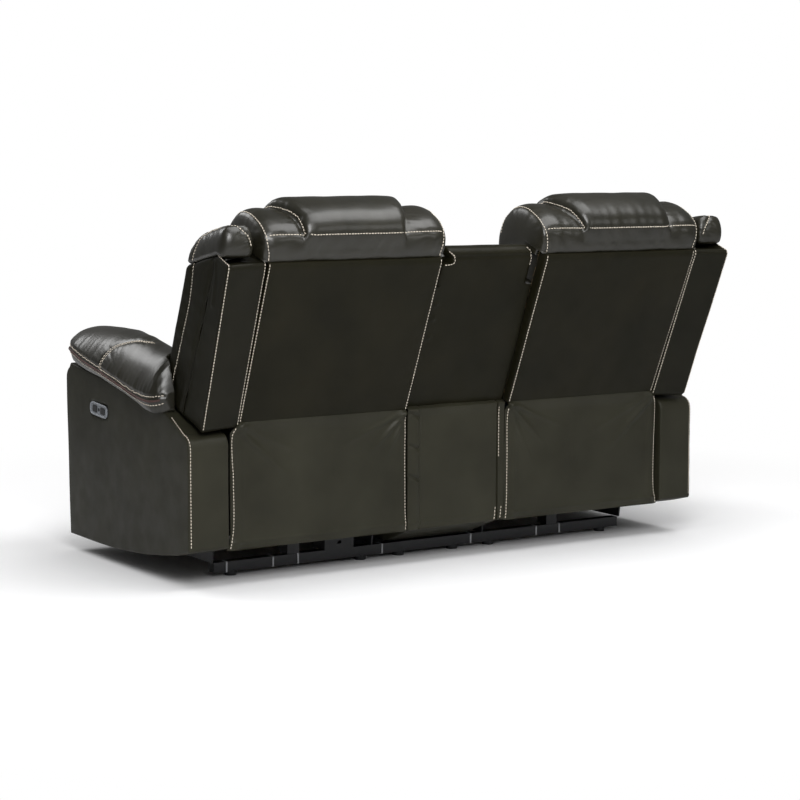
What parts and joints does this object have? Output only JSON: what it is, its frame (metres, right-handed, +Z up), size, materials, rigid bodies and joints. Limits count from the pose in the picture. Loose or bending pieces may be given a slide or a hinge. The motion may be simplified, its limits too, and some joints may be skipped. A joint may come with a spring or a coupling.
{
  "type": "power reclining loveseat with console",
  "caption": "Power reclining loveseat with padded arms, recliner backs that move with pantograph footrests, and a centre console with a lidded bin, cup holders and a fixed back.",
  "frame": {"origin": "on the floor, under the middle of the loveseat's bounding box", "axes": "+Z up, the front faces -Y, +X towards the sitter's left arm"},
  "size_m": [1.88, 1.0058, 1.0853],
  "materials": {
    "side_leather": "dark espresso bonded leather, flat panels with a soft sheen",
    "rear_leather": "dark espresso bonded leather, stretched over the backs",
    "soft_leather": "dark espresso bonded leather over foam, light contrast stitching",
    "board": "raw plywood, hidden under the upholstery",
    "black_steel": "satin black powder coat",
    "zinc_steel": "bright zinc or brushed stainless steel",
    "black_plastic": "black moulded plastic",
    "grey_plastic": "dark glossy switch plate with a silver-grey rim"
  },
  "bodies": {
    "base": {"rear_rail": "black_steel", "front_rail": "black_steel", "power_supply": "black_plastic", "console_box": "side_leather", "cup_holder_left": "zinc_steel", "cup_holder_right": "zinc_steel", "console_back": "rear_leather", "console_tailgate": "side_leather", "left_outer_side_plate": "black_steel", "left_inner_side_plate": "black_steel", "left_seat_box": "board", "left_seat_springs": "zinc_steel", "left_seat_cushion": "soft_leather", "left_tailgate": "side_leather", "left_actuator": "black_plastic", "left_arm_box": "side_leather", "left_arm_pad": "soft_leather", "left_switch_plate": "grey_plastic", "right_outer_side_plate": "black_steel", "right_inner_side_plate": "black_steel", "right_seat_box": "board", "right_seat_springs": "zinc_steel", "right_seat_cushion": "soft_leather", "right_tailgate": "side_leather", "right_actuator": "black_plastic", "right_arm_box": "side_leather", "right_arm_pad": "soft_leather", "right_switch_plate": "grey_plastic"},
    "left_back": {"left_back_frame": "board", "left_outside_back": "rear_leather", "left_back_cushion": "soft_leather", "left_headrest": "soft_leather", "left_wing": "rear_leather", "left_shoulder_pillow": "soft_leather"},
    "left_swing": {"left_swing_links": "black_steel"},
    "left_guide": {"left_guide_links": "black_steel"},
    "left_extension": {"left_extension_links": "black_steel"},
    "left_footrest": {"left_footrest_frame": "black_steel", "left_footrest_board": "board", "left_footrest_pad": "soft_leather"},
    "left_drive": {"left_drive_block": "zinc_steel"},
    "left_button_out": {"left_switch_button_out": "black_plastic"},
    "left_button_in": {"left_switch_button_in": "black_plastic"},
    "right_back": {"right_back_frame": "board", "right_outside_back": "rear_leather", "right_back_cushion": "soft_leather", "right_headrest": "soft_leather", "right_wing": "rear_leather", "right_shoulder_pillow": "soft_leather"},
    "right_swing": {"right_swing_links": "black_steel"},
    "right_guide": {"right_guide_links": "black_steel"},
    "right_extension": {"right_extension_links": "black_steel"},
    "right_footrest": {"right_footrest_frame": "black_steel", "right_footrest_board": "board", "right_footrest_pad": "soft_leather"},
    "right_drive": {"right_drive_block": "zinc_steel"},
    "right_button_out": {"right_switch_button_out": "black_plastic"},
    "right_button_in": {"right_switch_button_in": "black_plastic"},
    "lid": {"console_lid": "soft_leather"}
  },
  "joints": [
    {"name": "left_recline", "type": "hinge", "parent": "base", "child": "left_back", "pos_m": [0.4725, 0.262, 0.437], "axis": [-1, 0, 0], "range_deg": [0, 35]},
    {"name": "left_swing_pivot", "type": "hinge", "parent": "base", "child": "left_swing", "pos_m": [0.4725, -0.25, 0.222], "axis": [-1, 0, 0], "range_deg": [0, 138]},
    {"name": "left_guide_pivot", "type": "hinge", "parent": "base", "child": "left_guide", "pos_m": [0.4725, -0.30438, 0.24736], "axis": [-1, 0, 0], "range_deg": [0, 138]},
    {"name": "left_elbow", "type": "hinge", "parent": "left_swing", "child": "left_extension", "pos_m": [0.4725, -0.13625, 0.09567], "axis": [-1, 0, 0], "range_deg": [-138, 0]},
    {"name": "left_footrest_pivot", "type": "hinge", "parent": "left_extension", "child": "left_footrest", "pos_m": [0.4725, -0.385, 0.21166], "axis": [-1, 0, 0], "range_deg": [0, 90]},
    {"name": "left_actuator_slide", "type": "slide", "parent": "base", "child": "left_drive", "axis": [0, -1, 0], "range_m": [0, 0.092]},
    {"name": "left_button_out_press", "type": "slide", "parent": "base", "child": "left_button_out", "axis": [-1, 0, 0], "range_m": [0, 0.0015], "stiffness_N_per_m": 800},
    {"name": "left_button_in_press", "type": "slide", "parent": "base", "child": "left_button_in", "axis": [-1, 0, 0], "range_m": [0, 0.0015], "stiffness_N_per_m": 800},
    {"name": "right_recline", "type": "hinge", "parent": "base", "child": "right_back", "pos_m": [-0.4725, 0.262, 0.437], "axis": [-1, 0, 0], "range_deg": [0, 35]},
    {"name": "right_swing_pivot", "type": "hinge", "parent": "base", "child": "right_swing", "pos_m": [-0.4725, -0.25, 0.222], "axis": [-1, 0, 0], "range_deg": [0, 138]},
    {"name": "right_guide_pivot", "type": "hinge", "parent": "base", "child": "right_guide", "pos_m": [-0.4725, -0.30438, 0.24736], "axis": [-1, 0, 0], "range_deg": [0, 138]},
    {"name": "right_elbow", "type": "hinge", "parent": "right_swing", "child": "right_extension", "pos_m": [-0.4725, -0.13625, 0.09567], "axis": [-1, 0, 0], "range_deg": [-138, 0]},
    {"name": "right_footrest_pivot", "type": "hinge", "parent": "right_extension", "child": "right_footrest", "pos_m": [-0.4725, -0.385, 0.21166], "axis": [-1, 0, 0], "range_deg": [0, 90]},
    {"name": "right_actuator_slide", "type": "slide", "parent": "base", "child": "right_drive", "axis": [0, -1, 0], "range_m": [0, 0.092]},
    {"name": "right_button_out_press", "type": "slide", "parent": "base", "child": "right_button_out", "axis": [1, 0, 0], "range_m": [0, 0.0015], "stiffness_N_per_m": 800},
    {"name": "right_button_in_press", "type": "slide", "parent": "base", "child": "right_button_in", "axis": [1, 0, 0], "range_m": [0, 0.0015], "stiffness_N_per_m": 800},
    {"name": "lid_hinge", "type": "hinge", "parent": "base", "child": "lid", "pos_m": [0, 0.08, 0.545], "axis": [-1, 0, 0], "range_deg": [0, 92]}
  ],
  "couplings": [
    {"joint": "left_swing_pivot", "follows": "left_recline", "ratio": 3.9429},
    {"joint": "left_guide_pivot", "follows": "left_recline", "ratio": 3.9429},
    {"joint": "left_elbow", "follows": "left_recline", "ratio": -3.9429},
    {"joint": "left_footrest_pivot", "follows": "left_recline", "ratio": 2.5714},
    {"joint": "left_actuator_slide", "follows": "left_recline", "m_per_rad": 0.1506},
    {"joint": "right_swing_pivot", "follows": "right_recline", "ratio": 3.9429},
    {"joint": "right_guide_pivot", "follows": "right_recline", "ratio": 3.9429},
    {"joint": "right_elbow", "follows": "right_recline", "ratio": -3.9429},
    {"joint": "right_footrest_pivot", "follows": "right_recline", "ratio": 2.5714},
    {"joint": "right_actuator_slide", "follows": "right_recline", "m_per_rad": 0.1506}
  ]
}
